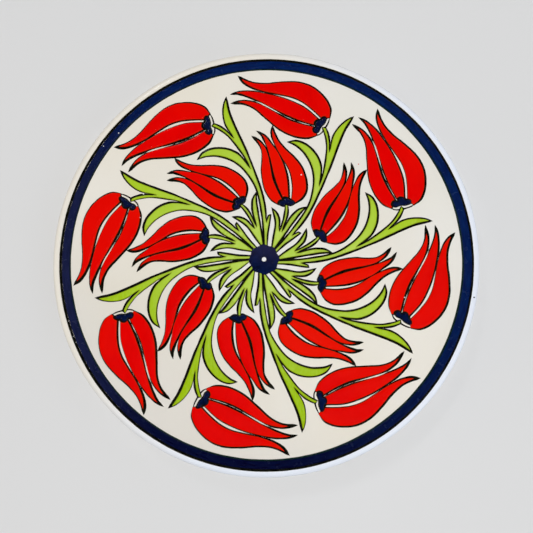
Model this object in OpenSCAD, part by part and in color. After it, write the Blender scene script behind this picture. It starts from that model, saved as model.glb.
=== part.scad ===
// Hand painted ceramic plate: a thrown body on a foot ring, a clear glaze over it, and raised
// enamel on the face. Eight units of tulips and leaves turn round a navy boss inside a navy band.
// +Z is up, and the origin is the centre of the foot ring's resting face. Millimetres.

/* [Plate] */
// Widest diameter, over the lip
plate_d = 180; // [180:1:190]
// Height of the middle of the face above the table
face_h = 10.5; // [9.5:0.5:14]
// Radius of the flat middle of the face
flat_r = 58; // [52:1:64]
// How far the face climbs from its flat middle to the lip
rise = 3; // [1:0.5:6]
// Radius of the rounded lip
lip_r = 2.5; // [2:0.1:2.6]

/* [Foot ring] */
// Depth of the hollow inside the foot ring
foot_h = 5; // [4.5:0.5:6]
// Outer radius of the foot ring where it meets the body
foot_r = 57; // [50:1:60]
// Thickness of the foot ring where it meets the body
foot_w = 8; // [6:0.5:10]

/* [Coats] */
// Thickness of the glaze
glaze_t = 0.35; // [0.2:0.05:0.6]
// Thickness of the black line work
line_t = 0.15; // [0.1:0.05:0.3]
// Thickness of the colour that stands on the line work
colour_t = 0.25; // [0.15:0.05:0.5]

/* [Painting] */
// Size of the painted pattern against its drawing
pattern_size = 1.01; // [0.96:0.005:1.01]
// Width of the dark band round the face, over both of its black lines
band_w = 4.6; // [3.6:0.1:4.7]
// Width of the black line along the band's outer edge
outer_ring_w = 0.6; // [0.4:0.1:0.8]
// Width of the black line along the band's inner edge
inner_ring_w = 0.35; // [0.25:0.05:0.5]
// Mean radius of the navy boss
boss_r = 6.15; // [6:0.05:6.5]
// Radius of the white dot on the boss
dot_r = 0.95; // [0.6:0.05:1.4]

/* [Hidden] */
$fn = 96;
units = 8;
unit_a = 360 / units;
// Distance between neighbouring points along a drawn curve
stride = 1.5;
// Share of a leaf's line width that lies outside its drawn edge
leaf_share = 0.22;
// The whole pattern was painted a little off the plate's centre, and the boss off the pattern's
shift = [-0.2, -0.6];
boss_at = [0.45, 0.15];

// ---- Drawn shapes -------------------------------------------------------------------------
// A side is a brush stroke from corner to corner: [x, y, line width] at each point that its
// curve needs. The sides of a shape run round it in order, and the line work is centred on them.

// Tulips are drawn standing on their calyx, which is at their own origin.
outer_petals = [
    [
        [[-4.5, 1.7, 0.2], [-6.9, 5, 0.5], [-8.3, 10.5, 0.5], [-7.9, 17, 0.5], [-5.5, 24.5, 0.5],
         [-3.3, 31, 0.5], [-3.1, 36.3, 0.6], [-5, 41.5, 0.8]],
        [[-5, 41.5, 0.8], [-1.8, 36.6, 0.5], [-0.5, 30, 0.6], [-1.2, 23.4, 0.6], [-2.2, 17, 0.6],
         [-2.2, 11, 0.6], [-1.2, 3.4, 0.4]],
        [[-1.2, 3.4, 0.4], [-4.5, 1.7, 0.2]]
    ],
    [
        [[-0.6, 3.2, 0.4], [-1.1, 9, 0.6], [-1.15, 14.4, 0.6], [-0.6, 22, 0.6], [0.2, 29.5, 0.6],
         [0.5, 35.5, 0.6], [0, 40.5, 0.7], [-1.4, 43.2, 0.7]],
        [[-1.4, 43.2, 0.7], [1.1, 40, 0.5], [3.4, 34.7, 0.5], [4.9, 28, 0.5], [5.6, 22, 0.5],
         [5.6, 16, 0.5], [4.9, 10.5, 0.5], [2.3, 3.2, 0.4]],
        [[2.3, 3.2, 0.4], [-0.6, 3.2, 0.4]]
    ],
    [
        [[3.2, 2.7, 0.4], [5.3, 7.6, 0.5], [6.9, 13, 0.5], [7.2, 18, 0.5], [6.2, 24.2, 0.5],
         [5.1, 30, 0.6], [4.9, 36, 0.6], [5.6, 40, 0.8], [7.2, 43.1, 0.8]],
        [[7.2, 43.1, 0.8], [6.8, 39, 0.5], [7.2, 35, 0.5], [8.9, 30.1, 0.5], [11.9, 24.1, 0.5],
         [14.3, 17.5, 0.5], [14.5, 11.2, 0.5], [12.1, 4.7, 0.5], [8.5, 0.7, 0.5],
         [4.7, -0.6, 0.2]],
        [[4.7, -0.6, 0.2], [3.2, 2.7, 0.4]]
    ]
];
inner_petals = [
    [
        [[-2.8, 1.5, 0.4], [-4.7, 4.6, 0.5], [-5.5, 9.5, 0.5], [-5, 13.5, 0.5],
         [-3.6, 18.3, 0.5], [-1.5, 22.6, 0.5], [-0.3, 26.5, 0.5], [-0.5, 30, 0.7],
         [-1.9, 33.7, 0.8]],
        [[-1.9, 33.7, 0.8], [0.4, 30.5, 0.5], [1.7, 26.5, 0.5], [1.55, 22.3, 0.6],
         [0.6, 17.5, 0.7], [-0.4, 12.8, 0.7], [-0.5, 8.5, 0.7], [-0.1, 2.4, 0.4]],
        [[-0.1, 2.4, 0.4], [-2.8, 1.5, 0.4]]
    ],
    [
        [[0.2, 2.4, 0.4], [0, 9, 0.7], [0.4, 14, 0.7], [1.3, 19.5, 0.7], [2.1, 25, 0.6],
         [2.4, 30, 0.7], [2.1, 32.8, 0.8], [0.9, 34.9, 0.8]],
        [[0.9, 34.9, 0.8], [3.5, 31.5, 0.5], [4.7, 27.5, 0.5], [5.8, 23.3, 0.5],
         [6.2, 18.6, 0.6], [5.9, 13.8, 0.7], [5, 9.5, 0.7], [2.7, 2.7, 0.4]],
        [[2.7, 2.7, 0.4], [0.2, 2.4, 0.4]]
    ],
    [
        [[3.2, 1.6, 0.4], [5.5, 5.9, 0.7], [6.9, 11, 0.7], [7.1, 15, 0.6], [6.3, 20.2, 0.5],
         [5.8, 25, 0.6], [6.1, 30, 0.7], [6.8, 32.3, 0.8], [8.1, 34.4, 0.8]],
        [[8.1, 34.4, 0.8], [7.7, 31.5, 0.5], [7.9, 27.3, 0.5], [9.3, 22.5, 0.5],
         [11.3, 17.8, 0.5], [12.6, 12.5, 0.5], [12.2, 7, 0.5], [10.5, 2.6, 0.5],
         [7.5, 0.2, 0.5], [4, -0.7, 0.4]],
        [[4, -0.7, 0.4], [3.2, 1.6, 0.4]]
    ]
];

// The calyxes are three lobes with a bold outline. The stem's end makes the notch under them.
outer_calyx_sides = [
    [[-0.5, 1.55, 0.3], [-1.4, 1.6, 0.3], [-2.4, 1.6, 0.3], [-3.3, 2.15, 0.4], [-3.65, 2.95, 0.6],
     [-3.15, 3.9, 0.6], [-2.2, 4.3, 0.6], [-1, 3.75, 0.6]],
    [[-1, 3.75, 0.6], [-0.35, 4.4, 0.6], [0.75, 4.75, 0.6], [1.85, 4.15, 0.6], [2.45, 3.05, 0.6]],
    [[2.45, 3.05, 0.6], [3.4, 2.65, 0.6], [4.25, 1.8, 0.6], [4.4, 1.1, 0.4], [3.6, 0.65, 0.3],
     [2.4, 0.65, 0.3], [1.2, 0.85, 0.3], [0.3, 1.3, 0.3], [-0.5, 1.55, 0.3]]
];
inner_calyx_sides = [
    [[-0.1, 0.6, 0.4], [-1, 0, 0.4], [-2, 0.8, 0.4], [-2.6, 1.6, 0.5], [-2.3, 2.5, 0.6],
     [-1.4, 2.95, 0.6], [-0.3, 2.75, 0.6]],
    [[-0.3, 2.75, 0.6], [0.2, 3.25, 0.6], [0.95, 3.45, 0.6], [1.85, 3, 0.6], [2.6, 1.95, 0.6]],
    [[2.6, 1.95, 0.6], [3.4, 1.1, 0.6], [4, 0.2, 0.5], [4.1, -0.4, 0.4], [3.1, -0.8, 0.4],
     [1.7, -0.7, 0.4], [0.8, -0.1, 0.4], [-0.1, 0.6, 0.4]]
];
// Under the outer calyx a line closes the flower, clear of the navy. The stem crosses it, and its
// end lies in the gap between that line and the calyx.
calyx_stroke = [
    [-4.8, 2.3, 0.4], [-3.6, 1, 0.4], [-2.1, 0.3, 0.4], [-0.4, -0.05, 0.4], [2.4, -0.5, 0.4],
    [5, -0.45, 0.4]
];
stem_gap = [[-2.6, 0.45], [1.2, -0.3], [0.6, 2], [-1.6, 2]];

// Leaves are drawn in place round the plate's centre, with the unit's first stem near +Y.
spray_sides = [
    [[1.5, 16.2, 0.7], [1.2, 21, 0.8], [0.3, 26.4, 0.8], [-1.2, 31.7, 0.8], [-3.8, 39, 0.8],
     [-6.5, 45.8, 0.8], [-9.2, 51.8, 0.9], [-12, 57.9, 0.9], [-14.4, 64, 0.9],
     [-15.9, 70.9, 0.9]],
    [[-15.9, 70.9, 0.9], [-16.9, 68, 0.6], [-17.3, 64, 0.5], [-16.8, 60, 0.5],
     [-15.4, 56.6, 0.6], [-12.6, 52.6, 0.5]],
    [[-12.6, 52.6, 0.5], [-15.2, 55.5, 0.8], [-18.3, 57.8, 0.8], [-21, 59.1, 0.7]],
    [[-21, 59.1, 0.7], [-22.3, 58, 0.4], [-21.2, 57.4, 0.6]],
    [[-21.2, 57.4, 0.6], [-17.6, 55.4, 0.6], [-14, 52.2, 0.6], [-10.4, 47.6, 0.6],
     [-7.9, 43.7, 0.7], [-5.4, 39.2, 0.5]],
    [[-5.4, 39.2, 0.5], [-7.8, 42.9, 0.8], [-10.8, 45.9, 0.8], [-15.8, 48, 0.8],
     [-21.7, 48.1, 0.8], [-26, 46.3, 0.8], [-28.5, 43.1, 0.7]],
    [[-28.5, 43.1, 0.7], [-24.9, 44.5, 0.6], [-19.5, 44.6, 0.6], [-14, 42.9, 0.6],
     [-9.5, 39.9, 0.6], [-5.8, 35.5, 0.6], [-3.2, 31, 0.6], [-1.8, 26.5, 0.6],
     [-0.7, 20, 0.7], [0.1, 12.5, 0.7], [0.35, 4.8, 0.7]],
    [[0.35, 4.8, 0.7], [1.9, 4.5, 0.7]],
    [[1.9, 4.5, 0.7], [2, 10.5, 0.7], [2.8, 15.3, 0.7], [3.5, 19.3, 0.8]],
    [[3.5, 19.3, 0.8], [2.2, 18.8, 0.7], [1.5, 16.2, 0.7]]
];
tuft_sides = [
    [[3.2, 3.4, 0.7], [4.4, 10.1, 0.7], [5.15, 15, 0.7], [4.8, 18.3, 0.7], [3.6, 22.4, 0.8]],
    [[3.6, 22.4, 0.8], [5.6, 20.4, 0.8], [7, 17.5, 0.8], [7.1, 14.7, 0.8], [6.95, 12.2, 0.7]],
    [[6.95, 12.2, 0.7], [7.85, 14.9, 0.7], [8.9, 18.7, 0.7], [9.25, 21.5, 0.7], [9.3, 23, 0.6]],
    [[9.3, 23, 0.6], [10, 23.6, 0.4], [10.7, 23, 0.6]],
    [[10.7, 23, 0.6], [10.8, 21, 0.8], [10.3, 17.8, 0.8], [9.3, 15, 0.8], [8.1, 12.1, 0.7]],
    [[8.1, 12.1, 0.7], [9.9, 15.6, 0.8], [12, 18.6, 0.8], [15.1, 21.4, 0.8], [18.7, 22.6, 0.8]],
    [[18.7, 22.6, 0.8], [15.7, 19.5, 0.7], [12.75, 15.5, 0.7], [9.8, 11.4, 0.7],
     [6.9, 7.4, 0.7], [3.6, 3.1, 0.7]],
    [[3.6, 3.1, 0.7], [3.2, 3.4, 0.7]]
];

// Where each tulip stands in the unit: [x, y, turn]
outer_place = [58.75, 21.4, 22.5];
inner_place = [9.86, 23, 22.5];

// ---- Curves -------------------------------------------------------------------------------
function flat(p) = [p.x, p.y];
function span(a, b) = norm(flat(b) - flat(a));
function last(list) = len(list) - 1;
function reversed(list) = [for (i = [last(list) : -1 : 0]) list[i]];

// Direction of a smooth curve through the points at point i
function heading(points, i) =
    let (a = points[max(i - 1, 0)], b = points[min(i + 1, last(points))], c = points[i])
    (b - a) / (span(a, c) + span(c, b));

// Point between points i and i + 1 of a smooth curve, at t from 0 to 1
function between(points, i, t) =
    let (a = points[i], b = points[i + 1], h = span(a, b))
    a * (2 * t ^ 3 - 3 * t ^ 2 + 1) + heading(points, i) * h * (t ^ 3 - 2 * t ^ 2 + t)
    + b * (3 * t ^ 2 - 2 * t ^ 3) + heading(points, i + 1) * h * (t ^ 3 - t ^ 2);

// A side as points about one stride apart, without its last point
function drawn(side) = [
    for (i = [0 : last(side) - 1])
        let (steps = len(side) > 2 ? max(2, round(span(side[i], side[i + 1]) / stride)) : 1)
        for (k = [0 : steps - 1]) between(side, i, k / steps)
];
function closed(sides) = [for (side = sides) each drawn(side)];
function stroke(side) = concat(drawn(side), [side[last(side)]]);

// How far point p is from the piece of line from a to b
function gap(p, a, b) =
    let (ab = flat(b) - flat(a), t = (p - flat(a)) * ab / (ab * ab))
    norm(p - flat(a) - ab * min(1, max(0, t)));

// How sharp a bend may be, as 1 plus the cosine of its turn, before its corner is cut off
sharpest = 0.004;

// Point b of a path a, b, c moved to its right by d. It keeps its distance from both pieces of
// line inside the bend, and from b outside it.
function beside(a, b, c, d) =
    let (u = (flat(b) - flat(a)) / span(a, b), v = (flat(c) - flat(b)) / span(b, c))
    let (way = [u.y + v.y, -u.x - v.x], outside = (cross(u, v) > 0) == (d > 0))
    flat(b) + way * d / max(outside ? norm(way) : 1 + u * v, sharpest);

// +1 for an outline that runs anticlockwise, -1 for a clockwise one
function winding(outline) = sign([for (i = [0 : last(outline)]) 1] * [
    for (i = [0 : last(outline)]) cross(flat(outline[i]), flat(outline[(i + 1) % len(outline)]))
]);

// Whether point p lies inside a closed outline
function inside(p, outline) = len([
    for (i = [0 : last(outline)])
        let (a = outline[i], b = outline[(i + 1) % len(outline)])
        if ((a.y > p.y) != (b.y > p.y) && p.x < a.x + (b.x - a.x) * (p.y - a.y) / (b.y - a.y)) 1
]) % 2 == 1;

// Share of its distance that a moved point must keep from every stretch of its outline
clearance = 0.93;

// A closed outline moved by a share of its own line width: + outwards, - inwards. A point that
// lands too near another stretch is left out, so a narrow tip stays all line.
function moved(outline, share) = [
    let (n = len(outline), side = winding(outline))
    for (i = [0 : n - 1])
        let (d = outline[i][2] * share)
        let (p = beside(outline[(i + n - 1) % n], outline[i], outline[(i + 1) % n], d * side))
        if (inside(p, outline) == (share < 0)
            && min([for (k = [0 : n - 1]) gap(p, outline[k], outline[(k + 1) % n])])
            > clearance * abs(d)) p
];

// One side of a brush stroke of varying width, and its whole outline
function bank(path, share) = [
    for (i = [1 : last(path) - 1])
        beside(path[i - 1], path[i], path[i + 1], path[i][2] * share)
];
function ribbon(path) = concat([flat(path[0])], bank(path, 0.5), [flat(path[last(path)])],
    reversed(bank(path, -0.5)));

// ---- Section of the plate -----------------------------------------------------------------
// The face is level to flat_r, climbs to edge_r, and turns over the lip to the underside
edge_r = plate_d / 2 - 1.2 * lip_r;
band_in = edge_r - band_w;
edge_a = atan(2 * rise / (edge_r - flat_r));
face_steps = 6;
lip_steps = 14;
function face_z(r) = face_h + (r < flat_r ? 0 : rise * ((r - flat_r) / (edge_r - flat_r)) ^ 2);
lip_c = [plate_d / 2 - lip_r, face_z(edge_r) - lip_r * cos(edge_a)];
under_run = lip_c - [foot_r, foot_h];
under_a = atan2(under_run.y, under_run.x) - asin(lip_r / norm(under_run));

function face_path(up) = concat([[0, face_h + up]],
    [for (k = [0 : face_steps]) let (r = flat_r + (edge_r - flat_r) * k / face_steps)
        [r, face_z(r) + up]]);
function lip_path(depth) = [
    for (k = [1 : lip_steps])
        let (a = 90 + edge_a - (180 + edge_a - under_a) * k / lip_steps)
        lip_c + (lip_r - depth) * [cos(a), sin(a)]
];
// The plate's outside from the middle of the face to the foot ring, at a depth under it
function skin(depth) = concat(face_path(-depth), lip_path(depth),
    [[foot_r, foot_h + depth / cos(under_a)]]);

foot_in = foot_r - foot_w;
foot_taper = 1.6;
foot_round = 1;
foot_arc = 22.5;
// Height that clears everything on the face
tall = 2 * (face_h + rise);

// ---- Helpers ------------------------------------------------------------------------------
// A coat on the face, between two heights over the glaze and two radii
module coat(low, high) {
    rotate_extrude() polygon(concat(face_path(low), reversed(face_path(high))));
}
// The coat where it lies inside the outlines that follow
module painted(low, high) {
    intersection() {
        translate(shift) linear_extrude(tall) scale(pattern_size) children();
        coat(low, high);
    }
}
module lined() { painted(0, line_t) children(); }
module coloured() { painted(line_t, line_t + colour_t) children(); }
module unit(i) { rotate((i - 1) * unit_a) children(); }
module placed(at) { translate([at.x, at.y]) rotate(at.z) children(); }
module dark(sides, share = 0.5) { polygon(moved(closed(sides), share)); }
module fill(sides) { polygon(moved(closed(sides), -0.5)); }
module boss_outline() {
    lobe = 0.25;
    lobe_a = 4;
    polygon([
        for (a = [0 : 3 : 357]) boss_at + (boss_r + lobe * cos(units * (a - lobe_a))) * [cos(a), sin(a)]
    ]);
}
module dot_outline() { translate(boss_at) circle(r = dot_r); }
// A ring of the band's own coat, which lies straight on the glaze
module ring(inner, outer, high) {
    intersection() {
        coat(0, high);
        difference() {
            cylinder(r = outer, h = tall);
            cylinder(r = inner, h = tall);
        }
    }
}

// ---- Parts --------------------------------------------------------------------------------
// The fired clay is made as its level well and its climbing rim, which meet at flat_r
module clay_body() {
    rotate_extrude() polygon(concat(skin(glaze_t), [[foot_r, foot_h], [0, foot_h]]));
}
module well_body() {
    color("#d9c7a8") intersection() {
        clay_body();
        cylinder(r = flat_r, h = tall);
    }
}
module rim_body() {
    color("#d9c7a8") difference() {
        clay_body();
        translate([0, 0, -face_h]) cylinder(r = flat_r, h = face_h + tall);
    }
}
module foot_ring() {
    outer = foot_r - foot_taper - foot_round;
    inner = foot_in + foot_taper + foot_round;
    color("#cfba96") rotate_extrude() polygon(concat(
        [[foot_in, foot_h]],
        [for (a = [180 : foot_arc : 270]) [inner, foot_round] + foot_round * [cos(a), sin(a)]],
        [for (a = [270 : foot_arc : 360]) [outer, foot_round] + foot_round * [cos(a), sin(a)]],
        [[foot_r, foot_h]]));
}
// The glaze leaves the foot ring bare, so it is a shell round the outside and a disc inside the ring
module glaze_coat() {
    color("#f3efe4") rotate_extrude() polygon(concat(skin(0), reversed(skin(glaze_t))));
    color("#f3efe4") translate([0, 0, foot_h - glaze_t]) cylinder(r = foot_in, h = glaze_t);
}
module rim_band() {
    color("#12294f") ring(band_in + inner_ring_w, edge_r - outer_ring_w, line_t + colour_t);
}
module rim_lines() {
    color("#111111") ring(band_in, band_in + inner_ring_w, line_t);
    color("#111111") ring(edge_r - outer_ring_w, edge_r, line_t);
}
module centre_boss() {
    color("#0d2350") painted(0, line_t + colour_t) difference() {
        boss_outline();
        dot_outline();
    }
}
module centre_dot() {
    stand = 0.1;
    color("#ffffff") painted(0, line_t + colour_t + stand) dot_outline();
}
module tulip(petals, calyx, at, i) {
    color("#e00a00") coloured() unit(i) placed(at) difference() {
        for (petal = petals) fill(petal);
        dark(calyx);
    }
}
module outer_tulip(i) { tulip(outer_petals, outer_calyx_sides, outer_place, i); }
module inner_tulip(i) { tulip(inner_petals, inner_calyx_sides, inner_place, i); }
module outer_calyx(i) { color("#0d2350") coloured() unit(i) placed(outer_place) fill(outer_calyx_sides); }
module inner_calyx(i) { color("#0d2350") coloured() unit(i) placed(inner_place) fill(inner_calyx_sides); }
module leaf_spray(i) {
    color("#a9cc2e") coloured() difference() {
        unit(i) fill(spray_sides);
        boss_outline();
        unit(i + 2) placed(outer_place) dark(outer_calyx_sides);
    }
}
module leaf_tuft(i) {
    color("#a9cc2e") coloured() difference() {
        unit(i) fill(tuft_sides);
        boss_outline();
        unit(i) placed(inner_place) dark(inner_calyx_sides);
    }
}
module outer_flower(i) {
    unit(i) placed(outer_place) {
        for (petal = outer_petals) dark(petal);
        dark(outer_calyx_sides);
        polygon(ribbon(stroke(calyx_stroke)));
    }
    intersection() {
        unit(i - 2) dark(spray_sides, leaf_share);
        unit(i) placed(outer_place) polygon(stem_gap);
    }
}
module inner_flower(i) {
    unit(i) placed(inner_place) {
        for (petal = inner_petals) dark(petal);
        dark(inner_calyx_sides);
    }
}
module outer_tulip_lines() {
    color("#111111") for (i = [1 : units]) lined() outer_flower(i);
}
module inner_tulip_lines() {
    color("#111111") for (i = [1 : units]) lined() inner_flower(i);
}
module spray_lines() {
    color("#111111") for (i = [1 : units]) lined() difference() {
        unit(i) dark(spray_sides, leaf_share);
        boss_outline();
        outer_flower(i + 2);
    }
}
module tuft_lines() {
    color("#111111") for (i = [1 : units]) lined() difference() {
        unit(i) dark(tuft_sides, leaf_share);
        boss_outline();
        inner_flower(i);
        unit(i) dark(spray_sides, leaf_share);
        unit(i - 1) dark(spray_sides, leaf_share);
    }
}

well_body();
rim_body();
foot_ring();
glaze_coat();
rim_band();
rim_lines();
centre_boss();
centre_dot();
for (i = [1 : units]) {
    outer_tulip(i);
    inner_tulip(i);
    outer_calyx(i);
    inner_calyx(i);
    leaf_spray(i);
    leaf_tuft(i);
}
outer_tulip_lines();
inner_tulip_lines();
spray_lines();
tuft_lines();
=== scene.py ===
"""The looks of a hand painted ceramic plate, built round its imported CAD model.

Lengths are in millimetres until a mesh, light or camera is made. Heights on the face are counted
from the glaze, which face() gives at any place.
"""

import math

import bmesh
import bpy
import numpy as np
from mathutils import Matrix, Vector, geometry, noise


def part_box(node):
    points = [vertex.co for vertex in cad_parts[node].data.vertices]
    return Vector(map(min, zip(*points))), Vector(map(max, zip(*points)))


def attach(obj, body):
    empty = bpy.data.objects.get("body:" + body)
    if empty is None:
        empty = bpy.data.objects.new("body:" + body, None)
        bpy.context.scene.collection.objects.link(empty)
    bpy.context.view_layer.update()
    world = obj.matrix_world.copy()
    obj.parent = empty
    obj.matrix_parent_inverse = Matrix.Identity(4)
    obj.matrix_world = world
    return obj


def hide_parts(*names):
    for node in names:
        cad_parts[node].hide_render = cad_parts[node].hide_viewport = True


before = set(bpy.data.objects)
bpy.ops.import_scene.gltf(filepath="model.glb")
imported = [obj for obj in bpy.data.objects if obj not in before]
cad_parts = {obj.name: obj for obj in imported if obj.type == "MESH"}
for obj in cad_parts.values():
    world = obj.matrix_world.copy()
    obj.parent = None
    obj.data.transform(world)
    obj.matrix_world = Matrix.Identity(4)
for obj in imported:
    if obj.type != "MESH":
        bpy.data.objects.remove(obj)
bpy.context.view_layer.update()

MM = 0.001
UNITS = 8


# ---- What the CAD model says --------------------------------------------------------------
def cad_points(node):
    """The vertices of a CAD node, in millimetres."""
    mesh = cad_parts[node].data
    co = np.zeros(3 * len(mesh.vertices))
    mesh.vertices.foreach_get("co", co)
    return co.reshape(-1, 3) / MM


def radii(node):
    """Smallest and largest radius of a CAD node that turns round the plate's axis."""
    r = np.hypot(*cad_points(node)[:, :2].T)
    return r.min(), r.max()


FACE_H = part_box("centre_boss")[0].z / MM
LINE_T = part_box("tuft_lines")[1].z / MM - FACE_H
COAT_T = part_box("centre_boss")[1].z / MM - FACE_H
BAND_IN, EDGE_R = radii("rim_lines")
NAVY_IN, NAVY_OUT = radii("rim_band")
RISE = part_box("rim_lines")[1].z / MM - LINE_T - FACE_H
PLATE_R = radii("glaze_coat")[1]
# The face ends this many lip radii inside the plate's edge, as in the CAD model
LIP_REACH = 1.2
LIP_R = (PLATE_R - EDGE_R) / LIP_REACH
FOOT_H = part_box("foot_ring")[1].z / MM
FOOT_IN, FOOT_R = radii("foot_ring")
GLAZE_T = FOOT_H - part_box("glaze_coat")[0].z / MM
# Radius of the level middle of the face
FLAT_R = radii("well_body")[1]


# ---- The hand of the maker ----------------------------------------------------------------
def wander(x, y, wave, seed):
    """Smooth noise between about -1 and 1 that changes over one wave's length."""
    return noise.noise(Vector((x / wave, y / wave, 7.31 * seed)))


def ripple(x, y):
    """How far the glaze stands off its ideal section: slow waves left by the wheel and the kiln."""
    return 0.05 * wander(x, y, 34, 1) + 0.018 * wander(x, y, 9, 2)


def section(r):
    """Height of the ideal face at radius r."""
    climb = max(0.0, r - FLAT_R) / (EDGE_R - FLAT_R)
    return FACE_H + RISE * climb ** 2


def face(x, y):
    """Height of the glaze on the face."""
    return section(math.hypot(x, y)) + ripple(x, y)


def ease(value, low, high):
    """From 0 at low to 1 at high, smoothly."""
    t = min(1.0, max(0.0, (value - low) / (high - low)))
    return t * t * (3 - 2 * t)


def stray(x, y):
    """How far the painting strays from its drawing: held back at the band, and never quite true."""
    r = math.hypot(x, y)
    held = -0.4 * ease(r, 64, 82) / max(r, 1.0)
    loose = 0.16 * ease(r, 6, 30)
    return x * held + loose * wander(x, y, 36, 11), y * held + loose * wander(x, y, 36, 12)


def red_habit(x, y):
    """The red always fell to the left of its line work, more in some places and less in others."""
    return -0.25 + 0.10 * wander(x, y, 42, 13), 0.08, 0.10


def green_habit(x, y):
    """The green slid towards the lower right, on the plate's left and lower side only."""
    share = ease(-(0.85 * x + 0.5 * y), -16, 16)
    return 0.22 * share, -0.20 * share, 0.16 * share - 0.08


def calyx_habit(x, y):
    """The navy ran further on the plate's upper right side."""
    return 0.0, 0.0, 0.02 + 0.10 * ease(0.6 * x + 0.8 * y, -10, 50)


def even(spread):
    """The habit of a colour that doesn't slip and spreads alike all round."""
    return lambda x, y: (0.0, 0.0, spread)


# ---- Outlines -----------------------------------------------------------------------------
# Points nearer than this are one point
WELD = 0.003
# Turns above CORNER are sharp corners, and turns below STRAIGHT are none
CORNER = math.radians(38)
STRAIGHT = math.radians(0.6)
# Paint spreads less near a sharp corner: within this distance, or this share of a short outline
CORNER_FADE = 4.0
FADE_SHARE = 0.06
# Lengths of the two waves of an unsteady hand
HAND_WAVES = (3.1, 1.1)
# Largest table of point and line pairs that is worked out at once
BATCH = 2000000


def cad_outlines(node):
    """The closed outlines of a CAD node's upper side. What they enclose is on their left."""
    shape = bmesh.new()
    shape.from_mesh(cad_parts[node].data)
    bmesh.ops.remove_doubles(shape, verts=shape.verts, dist=WELD * MM)
    shape.verts.index_update()
    upper = {f for f in shape.faces if f.normal.z > 0.5}
    edges = []
    for corner in (c for f in upper for c in f.loops):
        if sum(f in upper for f in corner.edge.link_faces) == 1:
            edges.append((corner.vert.index, corner.link_loop_next.vert.index))
    shape.verts.ensure_lookup_table()
    points = np.array([v.co.xy for v in shape.verts]) / MM
    shape.free()
    return [points[ring] for ring in chains(edges) if len(ring) > 2]


def turns(ring):
    """How far a closed outline turns at each of its points, in radians."""
    into, out = ring - np.roll(ring, 1, 0), np.roll(ring, -1, 0) - ring
    cross = into[:, 0] * out[:, 1] - into[:, 1] * out[:, 0]
    return np.arctan2(cross, (into * out).sum(1))


def smooth(ring, step):
    """The curve through an outline's points, with a point every step, and sharp at its corners."""
    ring = ring[np.abs(turns(ring)) > STRAIGHT]
    sharp = np.abs(turns(ring)) > CORNER
    count = len(ring)
    made = []
    for i in range(count):
        a, b, c, d = (ring[(i + k) % count] for k in (-1, 0, 1, 2))
        ab, bc, cd = (np.linalg.norm(q - p) for p, q in ((a, b), (b, c), (c, d)))
        start = (c - b) / bc if sharp[i] else (c - a) / (ab + bc)
        end = (c - b) / bc if sharp[(i + 1) % count] else (d - b) / (bc + cd)
        t = np.arange(max(1, round(bc / step)))[:, None] / max(1, round(bc / step))
        made.append(
            b * (2 * t ** 3 - 3 * t ** 2 + 1) + start * bc * (t ** 3 - 2 * t ** 2 + t)
            + c * (3 * t ** 2 - 2 * t ** 3) + end * bc * (t ** 3 - t ** 2)
        )
    return np.concatenate(made)


def leftward(ring):
    """Unit vectors that point into what a closed outline encloses."""
    along = np.roll(ring, -1, 0) - np.roll(ring, 1, 0)
    along /= np.maximum(np.linalg.norm(along, axis=1), 1e-9)[:, None]
    return np.stack([-along[:, 1], along[:, 0]], 1)


def clear_of_corners(ring):
    """From 0 at an outline's sharp corners to 1 a few millimetres away, less on a small outline."""
    corners = ring[np.abs(turns(ring)) > CORNER]
    if not len(corners):
        return np.ones(len(ring))
    length = np.linalg.norm(np.roll(ring, -1, 0) - ring, axis=1).sum()
    apart = np.linalg.norm(ring[:, None] - corners, axis=2).min(1)
    return np.clip(apart / min(CORNER_FADE, FADE_SHARE * length), 0, 1)


def hand_drawn(ring, habit, waver, seed):
    """An outline as a hand paints it. habit(x, y) gives how far the colour slips in x and y, and
    how far it spreads outwards. The line also wavers by waver."""
    slow, quick = HAND_WAVES
    off = np.array([wander(x, y, slow, seed) + 0.6 * wander(x, y, quick, seed + 1) for x, y in ring])
    habits = np.array([habit(x, y) for x, y in ring])
    strays = np.array([stray(x, y) for x, y in ring])
    across = waver * off - habits[:, 2] * clear_of_corners(ring)
    return ring + leftward(ring) * across[:, None] + habits[:, :2] + strays


def narrowed(ring, depth):
    """A hole's outline moved into the hole by depth. Points that would land too near another side
    are left out, so the hole closes where it is narrowest."""
    moved = ring - leftward(ring) * depth
    return moved[distance(moved, [ring]) > 0.9 * depth]


def edges_of(rings):
    """All the pieces of line of closed outlines, as their starts and ends."""
    return np.concatenate(rings), np.concatenate([np.roll(ring, -1, 0) for ring in rings])


def distance(points, rings):
    """Distance from each point to the nearest outline."""
    a, b = edges_of(rings)
    nearest = []
    for some in np.array_split(points, max(1, len(points) * len(a) // BATCH)):
        ab = b - a
        t = ((some[:, None] - a) * ab).sum(2) / np.maximum((ab * ab).sum(1), 1e-12)
        foot = a + ab * np.clip(t, 0, 1)[:, :, None]
        nearest.append(np.sqrt(((some[:, None] - foot) ** 2).sum(2)).min(1))
    return np.concatenate(nearest)


def within(points, rings):
    """Whether each point lies inside closed outlines, and not in their holes."""
    a, b = edges_of(rings)
    inside = []
    for some in np.array_split(points, max(1, len(points) * len(a) // BATCH)):
        x, y = some[:, :1], some[:, 1:]
        spans = (a[:, 1] > y) != (b[:, 1] > y)
        rise = np.where(np.abs(b[:, 1] - a[:, 1]) < 1e-12, 1e-12, b[:, 1] - a[:, 1])
        left = x < a[:, 0] + (b[:, 0] - a[:, 0]) * (y - a[:, 1]) / rise
        inside.append((spans & left).sum(1) % 2 == 1)
    return np.concatenate(inside)


def is_hole(ring):
    """Whether a closed outline runs clockwise, with what it encloses outside it."""
    ahead = np.roll(ring, -1, 0)
    return (ring[:, 0] * ahead[:, 1] - ring[:, 1] * ahead[:, 0]).sum() < 0


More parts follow.
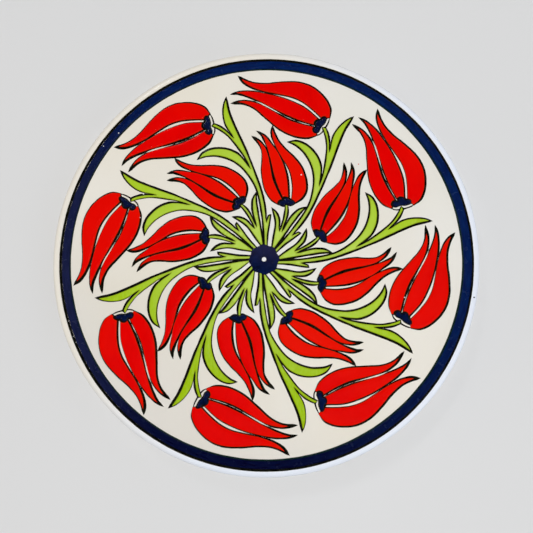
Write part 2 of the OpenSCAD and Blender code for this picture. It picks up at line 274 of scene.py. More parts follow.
def groups(rings):
    """Outlines sorted into solids: each outer outline with the holes in it."""
    outer = [ring for ring in rings if not is_hole(ring)]
    holes = [ring for ring in rings if is_hole(ring)]
    return [[ring] + [hole for hole in holes if within(hole[:1], [ring])[0]] for ring in outer]


# ---- Meshes -------------------------------------------------------------------------------
# Faces that meet at a larger angle have a sharp edge between them
SHARP = math.radians(50)


def cut(points, rings):
    """Delaunay triangles over points and outlines, as places and triples, inside the outlines."""
    places = np.concatenate(rings + [points])
    lines, first = [], 0
    for ring in rings:
        lines += [(first + i, first + (i + 1) % len(ring)) for i in range(len(ring))]
        first += len(ring)
    made = geometry.delaunay_2d_cdt([Vector(p) for p in places], lines, [], 0, 1e-5, False)
    places, faces = np.array([tuple(v) for v in made[0]]), np.array([list(f) for f in made[2]])
    faces = faces[within(places[faces].mean(1), rings)]
    used, faces = np.unique(faces, return_inverse=True)
    return places[used], faces.reshape(-1, 3)


def border(faces):
    """The edges that only one triangle has, each in that triangle's own direction."""
    directed = {(f[i], f[(i + 1) % 3]) for f in faces.tolist() for i in range(3)}
    return [(a, b) for a, b in directed if (b, a) not in directed]


def chains(edges):
    """Closed rings of indices that the edges form."""
    follows = {}
    for a, b in edges:
        follows.setdefault(a, []).append(b)
    found = []
    while follows:
        start = next(iter(follows))
        ring, at = [], start
        while True:
            ring.append(at)
            onward = follows[at].pop()
            if not follows[at]:
                del follows[at]
            at = onward
            if at == start:
                break
        found.append(ring)
    return found


# Where across a rounded edge its rows of points lie
EDGE_ROWS = (0.12, 0.4, 1.0)
# How far from its edge a dome reaches most of its height
DOME_REACH = 1.6
# Wave lengths of brush marks and of lumps, and the depth of the marks in coat heights
BRUSH_WAVE = 2.6
LUMP_WAVE = 0.95
BRUSH_DEPTH = 0.12


def coat(rings, base, stand, round_r, dome, grid, sink, seed, lumps=0.0):
    """One closed coat of paint: its upper side rises from base over a rounded edge to stand."""
    spread = []
    for share in EDGE_ROWS:
        for ring in rings:
            spread.append(ring + leftward(ring) * round_r * share)
            gap = distance(spread[-1], rings)
            spread[-1] = spread[-1][(gap > 0.93 * round_r * share) & within(spread[-1], rings)]
    low, high = np.concatenate(rings).min(0), np.concatenate(rings).max(0)
    xs, ys = np.arange(low[0], high[0], grid), np.arange(low[1], high[1], grid * 0.866)
    mesh_grid = np.array([(x + (k % 2) * grid / 2, y) for k, y in enumerate(ys) for x in xs])
    if len(mesh_grid):
        mesh_grid = mesh_grid[within(mesh_grid, rings)]
        spread.append(mesh_grid[distance(mesh_grid, rings) > round_r + 0.35 * grid])
    places, faces = cut(np.concatenate(spread), rings)
    rim = border(faces)
    inward = distance(places, rings)
    edge = np.clip(inward / round_r, 0, 1)
    lift = np.sqrt(1 - (1 - edge) ** 2) * stand + dome * (1 - np.exp(-inward / DOME_REACH))
    under = np.array([face(x, y) for x, y in places])
    brush = np.array([wander(x, y, BRUSH_WAVE, seed) for x, y in places]) * edge * BRUSH_DEPTH * stand
    if lumps:
        brush += np.array([wander(x, y, LUMP_WAVE, seed + 3) for x, y in places]) * edge * lumps
    top = np.column_stack([places, under + base + lift + brush])
    loops = chains(rim)
    count = len(top)
    lower, floor = {}, []
    for ring in loops:
        for i in ring:
            if i not in lower:
                lower[i] = count + len(floor)
                floor.append((*places[i], under[i] - sink))
    walls = [(a, lower[a], lower[b], b) for a, b in rim]
    outline = [places[ring] for ring in loops]
    flat, under_faces = cut(np.zeros((0, 2)), outline)
    known = {tuple(np.round(places[i], 6)): lower[i] for i in lower}
    bottom = [tuple(known[tuple(np.round(flat[i], 6))] for i in f[::-1]) for f in under_faces]
    tone = np.concatenate([inward, np.zeros(len(floor))])
    return np.vstack([top, floor]), [tuple(f) for f in faces.tolist()] + walls + bottom, tone


def new_piece(name, parts, material, replaces=()):
    """A mesh object from parts of points, faces and an inward distance, riding on the plate."""
    points, faces, tone = [], [], []
    for part_points, part_faces, part_tone in parts:
        first = sum(len(p) for p in points)
        faces += [tuple(first + i for i in f) for f in part_faces]
        points.append(np.asarray(part_points))
        tone.append(np.asarray(part_tone))
    mesh = bpy.data.meshes.new(name)
    mesh.from_pydata((np.concatenate(points) * MM).tolist(), [], faces)
    mesh.attributes.new("inward", "FLOAT", "POINT").data.foreach_set(
        "value", np.concatenate(tone).astype(np.float32)
    )
    mesh.materials.append(material)
    mesh.validate()
    mesh.shade_smooth()
    mesh.set_sharp_from_angle(angle=SHARP)
    piece = bpy.data.objects.new(name, mesh)
    bpy.context.scene.collection.objects.link(piece)
    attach(piece, "root")
    if replaces:
        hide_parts(*replaces)


def lathe(profile, steps, offset):
    """A closed section of radius and height, turned round the axis. offset moves each point."""
    points, faces = [], []
    count = len(profile)
    for k in range(steps):
        a = 2 * math.pi * k / steps
        for i, (r, z) in enumerate(profile):
            dr, dz = offset(i, r, z, a)
            points.append(((r + dr) * math.cos(a), (r + dr) * math.sin(a), z + dz))
    for k in range(steps):
        here, there = k * count, (k + 1) % steps * count
        for i in range(count):
            j = (i + 1) % count
            faces.append((here + i, there + i, there + j, here + j))
    return points, faces, np.zeros(count * steps)


# ---- Materials ----------------------------------------------------------------------------
def new_material(name):
    """A material with its Principled shader, and its places in millimetres."""
    made = bpy.data.materials.new(name)
    made.use_nodes = True
    tree = made.node_tree
    shader = tree.nodes["Principled BSDF"]
    where = tree.nodes.new("ShaderNodeTexCoord")
    scale = tree.nodes.new("ShaderNodeVectorMath")
    scale.operation = "SCALE"
    scale.inputs["Scale"].default_value = 1 / MM
    tree.links.new(where.outputs["Object"], scale.inputs[0])
    return made, tree, shader, scale.outputs[0]


def cloud(tree, at, wave, detail=2.0, stretch=(1, 1, 1)):
    """Noise from 0 to 1 that changes over one wave's length."""
    spread = tree.nodes.new("ShaderNodeMapping")
    spread.inputs["Scale"].default_value = [s / wave for s in stretch]
    made = tree.nodes.new("ShaderNodeTexNoise")
    made.inputs["Scale"].default_value = 1.0
    made.inputs["Detail"].default_value = detail
    tree.links.new(at, spread.inputs["Vector"])
    tree.links.new(spread.outputs[0], made.inputs["Vector"])
    return made.outputs["Fac"]


def ramp(tree, factor, stops):
    """Colours along a factor, from (place, colour) stops."""
    made = tree.nodes.new("ShaderNodeValToRGB")
    bar = made.color_ramp
    while len(bar.elements) < len(stops):
        bar.elements.new(0.5)
    for element, (place, colour) in zip(bar.elements, stops):
        element.position = place
        element.color = (*colour, 1)
    tree.links.new(factor, made.inputs["Fac"])
    return made.outputs["Color"]


def span(tree, value, low, high, to_low, to_high):
    """value from low to high, mapped to another range and held inside it."""
    made = tree.nodes.new("ShaderNodeMapRange")
    made.interpolation_type = "SMOOTHSTEP"
    for socket, number in zip(made.inputs[1:5], (low, high, to_low, to_high)):
        socket.default_value = number
    tree.links.new(value, made.inputs["Value"])
    return made.outputs["Result"]


def times(tree, a, b):
    """The product of two values."""
    made = tree.nodes.new("ShaderNodeMath")
    made.operation = "MULTIPLY"
    tree.links.new(a, made.inputs[0])
    tree.links.new(b, made.inputs[1])
    return made.outputs[0]


def blend(tree, factor, a, b):
    """Two colours mixed by a factor. A colour is a socket or three numbers."""
    made = tree.nodes.new("ShaderNodeMix")
    made.data_type = "RGBA"
    for socket, value in ((made.inputs["Factor"], factor), (made.inputs[6], a), (made.inputs[7], b)):
        if isinstance(value, bpy.types.NodeSocket):
            tree.links.new(value, socket)
        elif isinstance(value, tuple):
            socket.default_value = (*value, 1)
        else:
            socket.default_value = value
    return made.outputs[2]


def along(tree, at, way):
    """How far a place lies along a direction."""
    made = tree.nodes.new("ShaderNodeVectorMath")
    made.operation = "DOT_PRODUCT"
    made.inputs[1].default_value = way
    tree.links.new(at, made.inputs[0])
    return made.outputs["Value"]


def levelled(tree, at):
    """A place moved straight down to height 0."""
    made = tree.nodes.new("ShaderNodeVectorMath")
    made.operation = "MULTIPLY"
    made.inputs[1].default_value = (1, 1, 0)
    tree.links.new(at, made.inputs[0])
    return made.outputs[0]


def radius(tree, at):
    """Distance of a place from the plate's axis."""
    made = tree.nodes.new("ShaderNodeVectorMath")
    made.operation = "LENGTH"
    tree.links.new(levelled(tree, at), made.inputs[0])
    return made.outputs["Value"]


def inward(tree):
    """Distance from the edge of the coat, in millimetres."""
    made = tree.nodes.new("ShaderNodeAttribute")
    made.attribute_name = "inward"
    return made.outputs["Fac"]


def relief(tree, shader, height, depth):
    """Bumps from a height of 0 to 1, depth millimetres deep."""
    made = tree.nodes.new("ShaderNodeBump")
    made.inputs["Strength"].default_value = 1.0
    made.inputs["Distance"].default_value = depth * MM
    tree.links.new(height, made.inputs["Height"])
    tree.links.new(made.outputs[0], shader.inputs["Normal"])


def glazed(name, colour_of, gloss=(0.1, 0.2), specular=0.5, bump=0.01, bump_wave=1.4):
    """A fired, glossy coat whose colour is made by colour_of(tree, at)."""
    made, tree, shader, at = new_material(name)
    tree.links.new(colour_of(tree, at), shader.inputs["Base Color"])
    tree.links.new(span(tree, cloud(tree, at, 2.3), 0.3, 0.7, *gloss), shader.inputs["Roughness"])
    shader.inputs["Specular IOR Level"].default_value = specular
    relief(tree, shader, cloud(tree, at, bump_wave, 3), bump)
    return made


def glaze_colour(tree, at):
    """Cream that is whiter in the middle, with a painted bluish sheen to the upper right and painted shade
    to the lower left. On the lip, a painted reflection goes from warm on its left to bluish on its right."""
    warm = ramp(tree, cloud(tree, at, 46, 2), [(0.32, (0.76, 0.71, 0.60)), (0.68, (0.79, 0.755, 0.68))])
    middle = blend(tree, span(tree, radius(tree, at), 8, 52, 0.8, 0), warm, (0.78, 0.78, 0.76))
    # Painted sheen: the face turns bluish towards the upper right
    painted_sheen = span(tree, along(tree, at, (0.75, 0.66, 0)), 20, 84, 0, 0.4)
    # Painted shade: the face turns duller and darker towards the lower left
    painted_shade = span(tree, along(tree, at, (-0.6, -0.8, 0)), 25, 80, 0, 0.8)
    sided = blend(tree, painted_shade, blend(tree, painted_sheen, middle, (0.77, 0.79, 0.79)), (0.69, 0.66, 0.61))
    # Painted reflection on the lip: warm on its left, bluish white on its right
    lip = ramp(
        tree, span(tree, along(tree, at, (0.85, -0.5, 0)), -60, 60, 0, 1),
        [(0.0, (0.81, 0.765, 0.68)), (0.3, (0.80, 0.80, 0.80)), (0.75, (0.78, 0.82, 0.90))],
    )
    edged = blend(tree, span(tree, radius(tree, at), EDGE_R - 0.4, EDGE_R + 0.6, 0, 1), sided, lip)
    specks = span(tree, cloud(tree, at, 0.42, 1), 0.74, 0.79, 0, 0.22)
    return blend(tree, specks, edged, (0.52, 0.42, 0.30))


def back_glaze_colour(tree, at):
    """The thinner, warmer glaze under the plate, with iron specks."""
    body = ramp(tree, cloud(tree, at, 22, 3), [(0.3, (0.76, 0.69, 0.57)), (0.7, (0.82, 0.78, 0.69))])
    specks = span(tree, cloud(tree, at, 0.5, 1), 0.72, 0.78, 0, 0.4)
    return blend(tree, specks, body, (0.42, 0.32, 0.20))


def red_colour(tree, at):
    """Deep red that turns orange in broad patches, less so far out, and browner at its edges."""
    body = ramp(tree, cloud(tree, at, 13, 3), [(0.3, (0.66, 0.0, 0.0)), (0.7, (0.74, 0.0, 0.0))])
    patches = span(tree, cloud(tree, at, 34, 1), 0.42, 0.62, 0, 1)
    orange = times(tree, patches, span(tree, radius(tree, at), 50, 64, 1, 0.4))
    sided = blend(tree, orange, body, (0.76, 0.005, 0.0))
    strokes = span(tree, cloud(tree, at, 1.1, 3, (1, 0.28, 1)), 0.35, 0.7, 0, 0.25)
    brushed = blend(tree, strokes, sided, (0.76, 0.002, 0.0))
    thin = span(tree, inward(tree), 0.05, 0.5, 0.6, 0)
    return blend(tree, thin, brushed, (0.60, 0.018, 0.0))


def green_colour(tree, at):
    """Yellow green, paler by the boss, and olive at its edges where it thins over black."""
    body = ramp(tree, cloud(tree, at, 9, 3), [(0.3, (0.42, 0.60, 0.07)), (0.7, (0.50, 0.66, 0.12))])
    far = span(tree, radius(tree, at), 26, 62, 0, 0.85)
    sided = blend(tree, far, body, (0.36, 0.55, 0.006))
    low = span(tree, along(tree, at, (-0.25, -1.0, 0)), -5, 60, 0, 0.9)
    lower = blend(tree, low, sided, (0.30, 0.48, 0.0))
    strokes = span(tree, cloud(tree, at, 0.9, 3, (1, 0.3, 1)), 0.35, 0.7, 0, 0.3)
    brushed = blend(tree, strokes, lower, (0.42, 0.60, 0.06))
    thin = span(tree, inward(tree), 0.05, 0.5, 0.75, 0)
    return blend(tree, thin, brushed, (0.25, 0.33, 0.004))


def navy_colour(tree, at):
    """Navy of the calyxes and the boss, greyer on the boss's upper side and almost black at edges."""
    body = ramp(tree, cloud(tree, at, 2.6, 3), [(0.3, (0.0, 0.002, 0.018)), (0.7, (0.001, 0.007, 0.050))])
    upper = span(tree, along(tree, at, (0.2, 1, 0)), -6, 8, 0, 0.6)
    boss = span(tree, radius(tree, at), 8, 14, 1, 0.1)
    greyed = blend(tree, times(tree, upper, boss), body, (0.024, 0.022, 0.062))
    return blend(tree, span(tree, inward(tree), 0, 0.4, 0.7, 0), greyed, (0.001, 0.001, 0.006))


def band_colour(tree, at):
    """Navy brushed on while the plate turned, so its streaks run along the band. A painted bluish sheen
    makes it bluer to the upper right, and a painted reflection makes it greyer to the left."""
    way = tree.nodes.new("ShaderNodeVectorMath")
    way.operation = "NORMALIZE"
    tree.links.new(levelled(tree, at), way.inputs[0])
    far = tree.nodes.new("ShaderNodeCombineXYZ")
    tree.links.new(radius(tree, at), far.inputs["Z"])
    polar = tree.nodes.new("ShaderNodeVectorMath")
    polar.operation = "MULTIPLY_ADD"
    polar.inputs[1].default_value = (14, 14, 0)
    tree.links.new(way.outputs[0], polar.inputs[0])
    tree.links.new(far.outputs[0], polar.inputs[2])
    streaks = cloud(tree, polar.outputs[0], 0.8, 4)
    body = ramp(tree, streaks, [(0.3, (0.0, 0.0, 0.016)), (0.72, (0.001, 0.004, 0.033))])
    # Painted sheen: a lighter, bluer navy for the band's upper right
    sheened_navy = ramp(tree, streaks, [(0.3, (0.0, 0.005, 0.052)), (0.72, (0.0, 0.014, 0.092))])
    # Painted reflection: a lighter, greyer navy for the band's left side
    reflecting_navy = ramp(tree, streaks, [(0.3, (0.005, 0.008, 0.034)), (0.72, (0.010, 0.013, 0.058))])
    # Painted sheen: the band turns bluer towards the upper right
    upper = span(tree, along(tree, at, (0.6, 0.8, 0)), -70, 60, 0, 1)
    # Painted reflection: the band turns greyer towards the left
    painted_reflection_left = span(tree, along(tree, at, (-1.0, -0.1, 0)), 50, 84, 0, 0.9)
    return blend(tree, painted_reflection_left, blend(tree, upper, body, sheened_navy), reflecting_navy)


def line_colour(tree, at):
    """Black, brown where it thins, and dark green along the band's inner edge."""
    body = ramp(tree, cloud(tree, at, 3.2, 3), [(0.35, (0.001, 0.001, 0.0)), (0.75, (0.007, 0.007, 0.002))])
    thin = blend(tree, span(tree, inward(tree), 0.0, 0.12, 0.6, 0), body, (0.018, 0.014, 0.004))
    middle = (BAND_IN + EDGE_R) / 2
    beyond = span(tree, radius(tree, at), BAND_IN - 0.5, BAND_IN - 0.2, 0, 1)
    within_band = span(tree, radius(tree, at), middle - 1, middle, 1, 0)
    return blend(tree, times(tree, beyond, within_band), thin, (0.003, 0.016, 0.013))


def white_colour(tree, at):
    """White enamel, a little uneven."""
    return ramp(tree, cloud(tree, at, 1.2, 2), [(0.3, (0.80, 0.80, 0.78)), (0.7, (0.88, 0.88, 0.87))])


def clay(name):
    """Bare fired clay with the marks of its turning."""
    made, tree, shader, at = new_material(name)
    body = ramp(tree, cloud(tree, at, 7, 5), [(0.3, (0.55, 0.42, 0.28)), (0.7, (0.68, 0.56, 0.41))])
    grog = span(tree, cloud(tree, at, 0.35, 1), 0.66, 0.74, 0, 0.6)
    tree.links.new(blend(tree, grog, body, (0.30, 0.19, 0.11)), shader.inputs["Base Color"])
    tree.links.new(span(tree, cloud(tree, at, 1.5), 0.3, 0.7, 0.78, 0.95), shader.inputs["Roughness"])
    shader.inputs["Specular IOR Level"].default_value = 0.25
    relief(tree, shader, cloud(tree, at, 0.5, 6), 0.06)
    return made


GLAZE = glazed("glaze", glaze_colour, (0.10, 0.2), bump=0.006, bump_wave=2.2)
BACK_GLAZE = glazed("back_glaze", back_glaze_colour, (0.16, 0.34), bump=0.02)
RED = glazed("red_enamel", red_colour, (0.14, 0.26), specular=0.11)
GREEN = glazed("green_enamel", green_colour, (0.14, 0.26), specular=0.3)
NAVY = glazed("navy_enamel", navy_colour, (0.06, 0.14), specular=0.42, bump=0.02, bump_wave=1.1)
BAND = glazed("band_enamel", band_colour, (0.16, 0.28), specular=0.24, bump=0.006, bump_wave=1.1)
LINE = glazed("black_line", line_colour, (0.2, 0.4), specular=0.22)
WHITE = glazed("white_enamel", white_colour, (0.1, 0.2))
CLAY = clay("foot_clay")
BISCUIT = clay("biscuit")


# ---- The plate ----------------------------------------------------------------------------
# Turned surfaces stop this far from the axis
AXIS_GAP = 0.15
# Distance between the points across a fine section
SECTION_STEP = 0.35


def arc(centre, r, start, end, steps):
    """Points on an arc, from start to end in radians."""
    angles = [start + (end - start) * k / steps for k in range(steps + 1)]
    return [(centre[0] + r * math.cos(a), centre[1] + r * math.sin(a)) for a in angles]


def make_glaze():
    """The cream glaze as a closed shell: over the face, round the lip and down to the foot ring."""
    slope = math.atan(2 * RISE / (EDGE_R - FLAT_R))
    lip = (PLATE_R - LIP_R, section(EDGE_R) - LIP_R * math.cos(slope))
    run = (lip[0] - FOOT_R, lip[1] - FOOT_H)
    under = math.atan2(run[1], run[0]) - math.asin(LIP_R / math.hypot(*run))
    start, end = math.pi / 2 + slope, under - math.pi / 2
    upper = [(r, section(r)) for r in np.linspace(AXIS_GAP, EDGE_R, 90)]
    edge = arc(lip, LIP_R, start, end, 26)[1:]
    low, foot = np.array(edge[-1]), np.array((FOOT_R, FOOT_H))
    tail = [tuple(low * (1 - t) + foot * t) for t in np.linspace(0, 1, 24)[1:]]
    inner_edge = arc(lip, LIP_R - GLAZE_T, end, start, 20)
    inner = [(r, section(r) - GLAZE_T) for r in np.linspace(EDGE_R, AXIS_GAP, 40)]
    back = [(FOOT_R, FOOT_H + GLAZE_T / math.cos(under))]
    profile = upper + edge + tail + back + inner_edge + inner[1:]
    shown = len(upper) + len(edge) + len(tail)

    def offset(i, r, z, a):
        if i >= shown or r < 1:
            return 0, 0
        x, y = r * math.cos(a), r * math.sin(a)
        if i < len(upper):
            return 0, ripple(x, y)
        fade = max(0.0, 1 - (i - len(upper)) / (len(edge) + len(tail) - 1))
        throw = 0.05 * math.sin(r * 1.9 + 0.8 * a) * min(1.0, 6 * fade) * (1 - fade)
        return 0.10 * wander(x, y, 40, 3) * fade * min(1.0, (1 - fade) * 12), ripple(x, y) * fade - throw

    new_piece("glaze_skin", [lathe(profile, 360, offset)], GLAZE, ["glaze_coat"])


def make_recess():
    """The glazed disc inside the foot ring, with the rings that the turning tool left."""
    low = FOOT_H - GLAZE_T
    rings = [(r, low) for r in np.linspace(FOOT_IN, AXIS_GAP, 110)]
    profile = rings + [(AXIS_GAP, FOOT_H), (FOOT_IN, FOOT_H)]

    def offset(i, r, z, a):
        if i >= len(rings) or i == 0:
            return 0, 0
        pool = 0.12 * max(0.0, 1 - (FOOT_IN - r) / 2.5) ** 2
        groove = 0.035 * math.sin(r * 1.35 + a) * min(1.0, r / 6)
        return 0, groove - pool + 0.05 * wander(r * math.cos(a), r * math.sin(a), 16, 4)

    new_piece("recess_skin", [lathe(profile, 240, offset)], BACK_GLAZE, ["glaze_coat"])


def make_foot():
    """The turned foot ring: the CAD section with fine tool marks and soft wear on its flat."""
    section_points = {(round(math.hypot(x, y), 2), round(z, 2)) for x, y, z in cad_points("foot_ring")}
    corners = np.array(sorted(section_points))
    middle = corners.mean(0)
    order = np.argsort(np.arctan2(*(corners - middle).T[::-1]))
    corners = corners[order]
    profile = []
    for p, q in zip(corners, np.roll(corners, -1, 0)):
        count = max(1, round(np.linalg.norm(q - p) / SECTION_STEP))
        profile += [tuple(p + (q - p) * k / count) for k in range(count)]

    def offset(i, r, z, a):
        if z > FOOT_H - 0.01:
            return 0, 0
        x, y = r * math.cos(a), r * math.sin(a)
        side = math.copysign(1, r - middle[0])
        marks = 0.03 * math.sin(z * 9 + 0.6 * wander(x, y, 12, 5)) + 0.04 * wander(x, y + 9 * z, 3, 6)
        wear = max(0.0, wander(x, y, 5, 7)) * 0.05 if z < 0.4 else 0
        return side * marks * min(1.0, (FOOT_H - z) / 1.0) * (z > 0.2), wear

    new_piece("foot_ring_turned", [lathe(profile, 240, offset)], CLAY, ["foot_ring"])


def ring_coat(inner, outer, base, stand, round_r, waver, seed, centre, steps=720):
    """A ring of paint with rounded, slightly wavering edges, as a closed section turned round."""
    half = (outer - inner) / 2
    shares = [0.0, 0.1, 0.35, 0.7, 1.0]
    left = [(inner + s * round_r, math.sqrt(1 - (1 - s) ** 2)) for s in shares]
    right = [(outer - s * round_r, math.sqrt(1 - (1 - s) ** 2)) for s in shares[::-1]]
    across = np.linspace(inner + round_r, outer - round_r, max(3, round(half / SECTION_STEP)))
    middle = [(r, 1.0) for r in across[1:-1]]
    upper = left + middle + right
    whole = len(upper) + 2
    points, faces = [], []
    for k in range(steps):
        a = 2 * math.pi * k / steps
        cos, sin = math.cos(a), math.sin(a)
        slip = centre[0] * cos + centre[1] * sin
        drift_in, drift_out = (
            slip + waver * (wander(x, y, 4.5, own) + 0.5 * wander(x, y, 1.3, own))
            for x, y, own in ((inner * cos, inner * sin, seed), (outer * cos, outer * sin, seed + 1))
        )
        for r, lift in upper + [(outer, None), (inner, None)]:
            t = (r - inner) / (outer - inner)
            at = r + drift_in * (1 - t) + drift_out * t
            x, y = at * cos, at * sin
            under = face(x, y) if at < EDGE_R else section(EDGE_R) + ripple(x, y)
            if lift is None:
                points.append((x, y, under - 0.1))
            else:
                streak = 0.02 * wander(at * 3.1, 3 * a, 0.9, seed + 2) * lift
                points.append((x, y, under + base + stand * lift + streak))
    for k in range(steps):
        here, there = k * whole, (k + 1) % steps * whole
        for i in range(whole):
            j = (i + 1) % whole
            faces.append((here + i, here + j, there + j, there + i))
    edge = [min(r - inner, outer - r) for r, _ in upper] + [0, 0]
    return points, faces, np.tile(edge, steps)


# Inner and outer radius of each ring. The navy laps over the black rings on both its sides.
INNER_RING = (BAND_IN - 0.18, NAVY_IN + 0.40)
NAVY_RING = (NAVY_IN + 0.02, NAVY_OUT - 0.46)
OUTER_RING = (NAVY_OUT - 0.52, EDGE_R - 0.09)
# Where the centres of the black rings and of the navy band between them lie
RINGS_AT = (0.22, -0.28)
NAVY_AT = (0.34, -0.30)


def make_band():
    """The navy band between its black rings, all painted a little off the plate's centre."""
    low = LINE_T * 0.4
    navy = ring_coat(*NAVY_RING, low, COAT_T - low, round_r=0.35, waver=0.05, seed=21, centre=NAVY_AT)
    new_piece("band_enamel_ring", [navy], BAND, ["rim_band"])
    lines = [
        ring_coat(*edges, 0, LINE_T, round_r=0.12, waver=0.06, seed=seed, centre=RINGS_AT)
        for edges, seed in ((INNER_RING, 31), (OUTER_RING, 41))
    ]
    new_piece("band_line_rings", lines, LINE, ["rim_lines"])


# Distance between the points of a painted outline
STEP = 0.34
# How far the black line work spread outwards, and into the narrow gaps that it encloses
LINE_SPREAD = 0.25
HOLE_SPREAD = 0.06
# A gap with no more points than this is closed up
FEWEST = 6


def painted(name, node, paint, seed):
    """The coloured coat of a CAD node, domed and smooth, in its own outline."""
    drawn = [smooth(ring, STEP) for ring in cad_outlines(node)]
    rings = [hand_drawn(ring, paint["habit"], waver=0.05, seed=seed) for ring in drawn]
    low, stand = LINE_T - 0.02, COAT_T - LINE_T
    parts = [
        coat(group, low, stand, sink=0.05, seed=seed, **paint["form"])
        for group in groups(rings)
    ]
    new_piece(name, parts, paint["material"], [node])


def lined(name, node, seed):
    """The black line work of a CAD node, low and round-edged."""
    drawn = [smooth(ring, STEP) for ring in cad_outlines(node)]
    outer = [ring for ring in drawn if not is_hole(ring)]
    holes = [narrowed(ring, HOLE_SPREAD) for ring in drawn if is_hole(ring)]
    rings = [hand_drawn(ring, even(LINE_SPREAD), waver=0.06, seed=seed) for ring in outer]
    rings += [hand_drawn(ring, even(0), waver=0.03, seed=seed) for ring in holes if len(ring) > FEWEST]
    parts = [
        coat(group, 0, LINE_T, round_r=0.13, dome=0, grid=2.4, sink=0.05, seed=seed)
        for group in groups(rings)
    ]
    new_piece(name, parts, LINE, [node])


def new_paint(material, slot, habit, dome, grid=0.9, lumps=0.0):
    """What a coat is painted with: dome and lumps are heights in millimetres."""
    form = {"round_r": 0.3, "dome": dome, "grid": grid, "lumps": lumps}
    return {"material": material, "slot": slot, "habit": habit, "form": form}


RED_PAINT = new_paint(RED, "red_enamel", red_habit, 0.12)
GREEN_PAINT = new_paint(GREEN, "green_enamel", green_habit, 0.08)
CALYX_PAINT = new_paint(NAVY, "navy_enamel", calyx_habit, 0.34, grid=0.4, lumps=0.24)
BOSS_PAINT = new_paint(NAVY, "navy_enamel", even(0.10), 0.25, grid=0.5, lumps=0.10)
DOT_PAINT = new_paint(WHITE, "white_enamel", even(0.06), 0.2, grid=0.35)
KINDS = [
    ("outer_tulip", RED_PAINT),
    ("inner_tulip", RED_PAINT),
    ("outer_calyx", CALYX_PAINT),
    ("inner_calyx", CALYX_PAINT),
    ("leaf_spray", GREEN_PAINT),
    ("leaf_tuft", GREEN_PAINT),
]
LINE_NODES = ("outer_tulip_lines", "inner_tulip_lines", "spray_lines", "tuft_lines")


def make_pattern():
    """Every coat of the pattern, each with its own unsteadiness."""
    for k, (kind, paint) in enumerate(KINDS):
        for i in range(1, UNITS + 1):
            painted(f"{kind}_coat_{i}", f"{kind}_{i}", paint, 100 * k + 10 * i)
    for k, node in enumerate(LINE_NODES):
        lined(f"{node}_drawn", node, 800 + 20 * k)
    painted("centre_boss_coat", "centre_boss", BOSS_PAINT, 901)
    painted("centre_dot_coat", "centre_dot", DOT_PAINT, 902)


def make_marks():
    """Small faults of the brush and the kiln: stray drops of enamel and pinholes, all domed."""
    high = COAT_T + 0.08
    marks = [
        ("red_speck", (40.7, 40.4), 0.24, RED, "red_enamel", 0.0),
        ("red_drop", (-21.6, -39.4), 0.42, RED, "red_enamel", 0.0),
        ("lip_speck", (86.55, -16.9), 0.30, LINE, "black_line", 0.0),
        ("line_blob", (34.5, -5.6), 0.42, LINE, "black_line", high),
        ("pale_pinhole", (16.2, 35.9), 0.28, WHITE, "white_enamel", high),
        ("slit_fleck", (58.9, -16.7), 0.26, WHITE, "white_enamel", high),
        ("notch_fleck", (-53.2, 17.9), 0.24, WHITE, "white_enamel", LINE_T),
        ("leaf_fleck", (-51.9, 28.2), 0.26, WHITE, "white_enamel", LINE_T),
        ("band_fleck_1", (-62.7, 54.6), 0.24, WHITE, "white_enamel", COAT_T),
        ("band_fleck_2", (-69.1, 48.8), 0.18, WHITE, "white_enamel", COAT_T),
        ("ring_fleck_1", (-81.7, -26.5), 0.15, WHITE, "white_enamel", LINE_T),
        ("ring_fleck_2", (-79.6, -32.9), 0.12, WHITE, "white_enamel", LINE_T),
        ("ring_fleck_3", (-78.3, -35.3), 0.12, WHITE, "white_enamel", LINE_T),
    ]
    for name, (x, y), wide, material, slot, height in marks:
        steps = 14
        ring = np.array([
            (x + wide * (1 + 0.15 * math.sin(3 * a)) * math.cos(a), y + wide * math.sin(a))
            for a in (2 * math.pi * k / steps for k in range(steps))
        ])
        parts = [coat([ring], height, 0.05, round_r=0.12, dome=0.1, grid=wide / 2, sink=0.02, seed=950)]
        new_piece(name, parts, material)


def finish_carried_over():
    """Bare clay on the CAD nodes that keep their own shape under the glaze."""
    for node in ("well_body", "rim_body"):
        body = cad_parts[node].data
        body.materials.clear()
        body.materials.append(BISCUIT)


# ---- Stage, light and camera --------------------------------------------------------------
def make_floor():
    """A wide pale floor."""
    made, tree, shader, at = new_material("pale_floor")
    tone = ramp(tree, cloud(tree, at, 260, 2), [(0.3, (0.68, 0.68, 0.68)), (0.7, (0.695, 0.695, 0.695))])
    tree.links.new(tone, shader.inputs["Base Color"])
    shader.inputs["Roughness"].default_value = 0.9
    shader.inputs["Specular IOR Level"].default_value = 0.1
    half = 2.2
    mesh = bpy.data.meshes.new("floor")
    corners = [(-half, -half, 0), (half, -half, 0), (half, half, 0), (-half, half, 0)]
    mesh.from_pydata(corners, [], [(0, 1, 2, 3)])
    mesh.materials.append(made)
    floor = bpy.data.objects.new("floor", mesh)
    bpy.context.scene.collection.objects.link(floor)


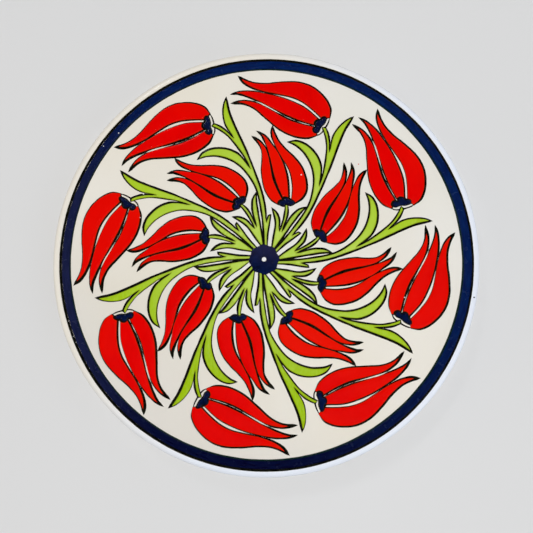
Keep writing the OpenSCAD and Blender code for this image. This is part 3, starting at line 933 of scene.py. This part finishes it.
def softbox(name, azimuth, elevation, away, size, watts, colour, shines=True):
    """A square area light that faces the plate, from a direction in degrees."""
    light = bpy.data.lights.new(name, "AREA")
    light.shape = "SQUARE"
    light.size = size
    light.energy = watts
    light.color = colour
    lamp = bpy.data.objects.new(name, light)
    a, e = math.radians(azimuth), math.radians(elevation)
    back = Vector((math.cos(a) * math.cos(e), math.sin(a) * math.cos(e), math.sin(e)))
    lamp.location = back * away
    lamp.rotation_mode = "QUATERNION"
    lamp.rotation_quaternion = back.to_track_quat("Z", "Y")
    lamp.visible_glossy = shines
    bpy.context.scene.collection.objects.link(lamp)


def make_light():
    """Soft studio light: one panel overhead, three to the sides, and a bulb for the glints."""
    softbox("overhead", -68, 84, 1.4, 0.62, 16.3, (1.0, 0.99, 0.98), shines=False)
    softbox("window", -40, 24, 1.3, 1.1, 3.6, (0.82, 0.90, 1.0))
    softbox("window_far", 52, 26, 1.4, 1.0, 2.6, (0.84, 0.91, 1.0))
    softbox("warm_side", 175, 28, 1.4, 0.9, 2.4, (1.0, 0.95, 0.87))
    softbox("bulb", 120, 48, 1.3, 0.13, 1.1, (0.92, 0.96, 1.0))
    world = bpy.data.worlds.new("studio")
    bpy.context.scene.world = world
    world.use_nodes = True
    sky = world.node_tree.nodes["Background"]
    sky.inputs["Color"].default_value = (0.93, 0.96, 1.0, 1)
    sky.inputs["Strength"].default_value = 0.05
    bpy.context.scene.view_settings.view_transform = "Standard"


# The camera looks down on the face from a little off its axis. Angles are in degrees.
CAMERA_TILT = 6.26
CAMERA_TURN = -67.9
CAMERA_AWAY = 251.0
CAMERA_AIM = (1.29, -3.49)
CAMERA_LENS = 40.05


def make_camera():
    """The camera, with its picture level along the plate's x axis."""
    tilt, turn = math.radians(CAMERA_TILT), math.radians(CAMERA_TURN)
    back = Vector((math.sin(tilt) * math.cos(turn), math.sin(tilt) * math.sin(turn), math.cos(tilt)))
    right = Vector((back.z, 0, -back.x)).normalized()
    up = back.cross(right)
    camera = bpy.data.objects.new("camera", bpy.data.cameras.new("camera"))
    camera.data.lens = CAMERA_LENS
    camera.data.sensor_width = 36.0
    camera.data.clip_start = 0.01
    place = (back * CAMERA_AWAY + Vector((*CAMERA_AIM, FACE_H))) * MM
    camera.matrix_world = Matrix.Translation(place) @ Matrix((right, up, back)).transposed().to_4x4()
    bpy.context.scene.collection.objects.link(camera)
    bpy.context.scene.camera = camera


make_camera()
make_light()
make_floor()
finish_carried_over()
make_glaze()
make_recess()
make_foot()
make_band()
make_pattern()
make_marks()
